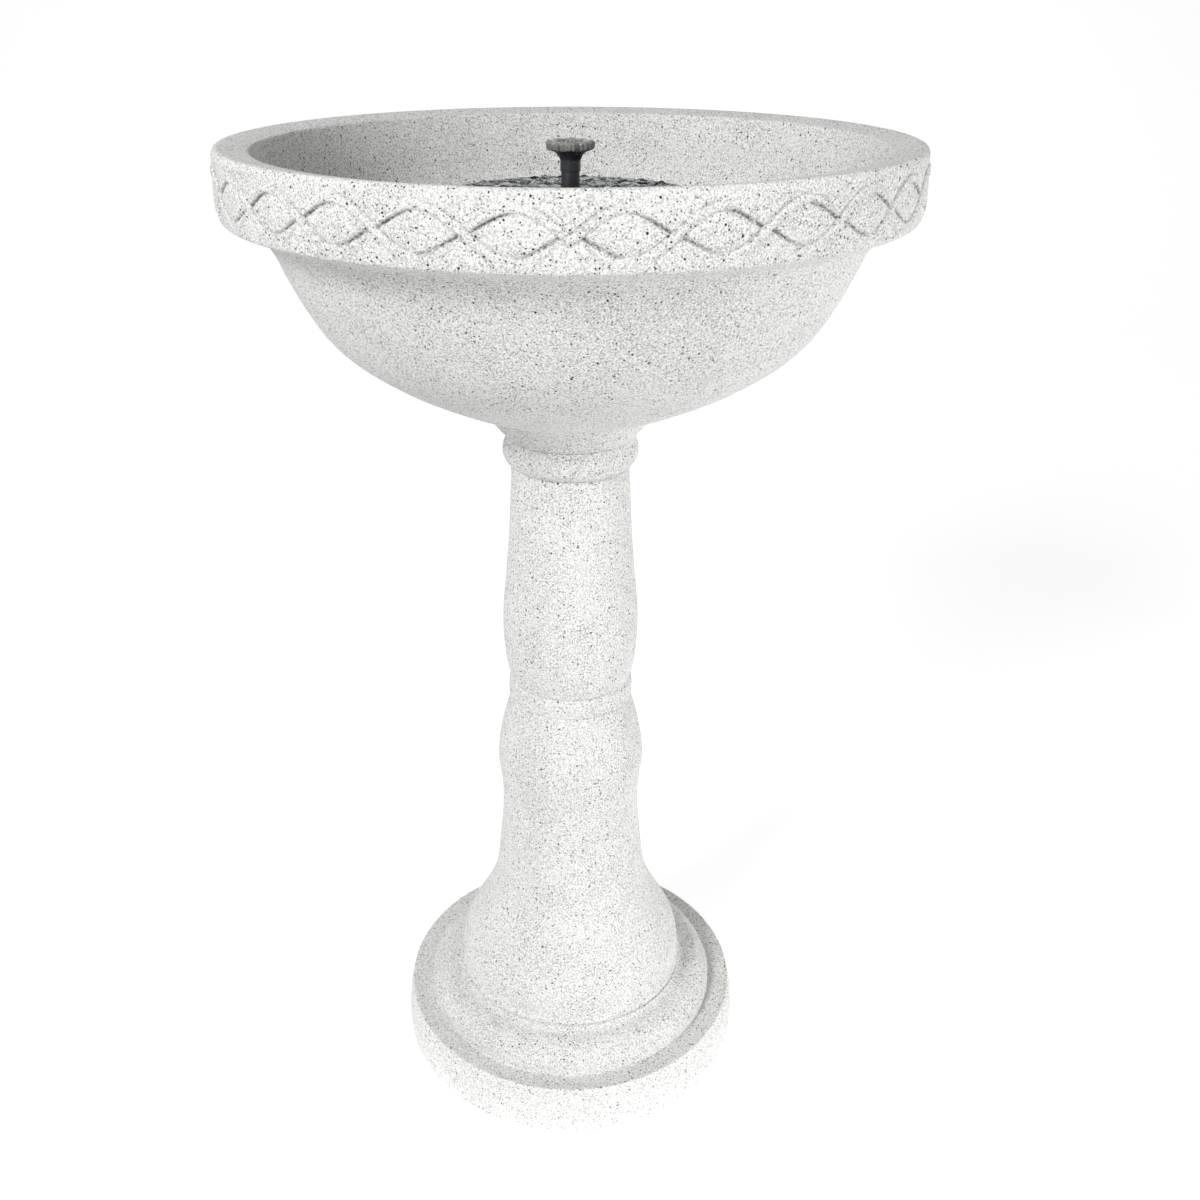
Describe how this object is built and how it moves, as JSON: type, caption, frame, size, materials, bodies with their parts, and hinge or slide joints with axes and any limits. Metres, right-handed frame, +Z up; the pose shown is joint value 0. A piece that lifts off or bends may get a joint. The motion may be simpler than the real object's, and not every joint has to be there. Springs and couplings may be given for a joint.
{
  "type": "bird bath fountain",
  "caption": "Pedestal bird bath in speckled cast stone, with a plaited band round its bowl and a solar pump module that sprays from the middle.",
  "frame": {"origin": "centre of the footprint, on the ground", "axes": "+Z up the pedestal's axis; the front looks along -Y"},
  "size_m": [0.473, 0.473, 0.7826],
  "materials": {
    "cast_stone": "fine granular cast stone, off-white with grey specks",
    "rubber": "matt black rubber",
    "stainless": "stainless fasteners",
    "black_plastic": "moulded black ABS",
    "clear_cover": "clear moulded cover",
    "solar_cell": "dark silicon laminate",
    "circuit": "glass-epoxy board",
    "copper": "enamelled copper windings",
    "motor_steel": "laminated electrical steel",
    "ferrite": "ferrite magnet",
    "ceramic": "polished ceramic",
    "foam": "open-cell filter foam"
  },
  "bodies": {
    "pedestal": {"plinth": "cast_stone", "lower_column": "cast_stone", "upper_column": "cast_stone", "plinth_pad_1": "rubber", "plinth_pad_2": "rubber", "plinth_pad_3": "rubber", "tie_rod": "stainless", "lower_washer": "stainless", "lower_nut": "stainless", "upper_washer": "stainless", "upper_nut": "stainless", "bowl_gasket": "rubber"},
    "bowl_body": {"bowl": "cast_stone"},
    "pump_module": {"panel_cover": "clear_cover", "solar_cells": "solar_cell", "panel_tray": "black_plastic", "tray_base": "black_plastic", "tray_screw_1": "stainless", "tray_screw_2": "stainless", "tray_screw_3": "stainless", "pump_screw_1": "stainless", "pump_screw_2": "stainless", "driver_board": "circuit", "pump_body": "black_plastic", "pump_back_cap": "black_plastic", "chamber_cover": "black_plastic", "cover_seal": "rubber", "front_bush": "rubber", "rear_bush": "rubber", "rotor_shaft": "ceramic", "stator_core": "motor_steel", "coil_1": "copper", "coil_2": "copper", "coil_3": "copper", "coil_4": "copper", "filter_sponge": "foam"},
    "strainer": {"strainer_cage": "black_plastic", "cage_foot_1": "rubber", "cage_foot_2": "rubber", "cage_foot_3": "rubber"},
    "rotor": {"impeller": "black_plastic", "rotor_magnet": "ferrite"},
    "riser": {"riser_tube": "black_plastic"},
    "head": {"spray_head": "black_plastic"}
  },
  "joints": [
    {"name": "bowl_turn", "type": "hinge", "parent": "pedestal", "child": "bowl_body", "pos_m": [0, 0, 0.573], "axis": [0, 0, 1], "range_deg": [0, 40]},
    {"name": "module_lift", "type": "slide", "parent": "bowl_body", "child": "pump_module", "axis": [0, 0, 1], "range_m": [0, 0.12]},
    {"name": "strainer_turn", "type": "hinge", "parent": "pump_module", "child": "strainer", "pos_m": [0, 0, 0.7235], "axis": [0, 0, 1], "range_deg": [0, 30]},
    {"name": "rotor_spin", "type": "hinge", "parent": "pump_module", "child": "rotor", "pos_m": [-0.0125, 0, 0.696], "axis": [0, 1, 0], "continuous": true},
    {"name": "riser_slide", "type": "slide", "parent": "pump_module", "child": "riser", "axis": [0, 0, 1], "range_m": [0, 0.014]},
    {"name": "head_turn", "type": "hinge", "parent": "riser", "child": "head", "pos_m": [0, 0, 0.77], "axis": [0, 0, 1], "continuous": true}
  ]
}
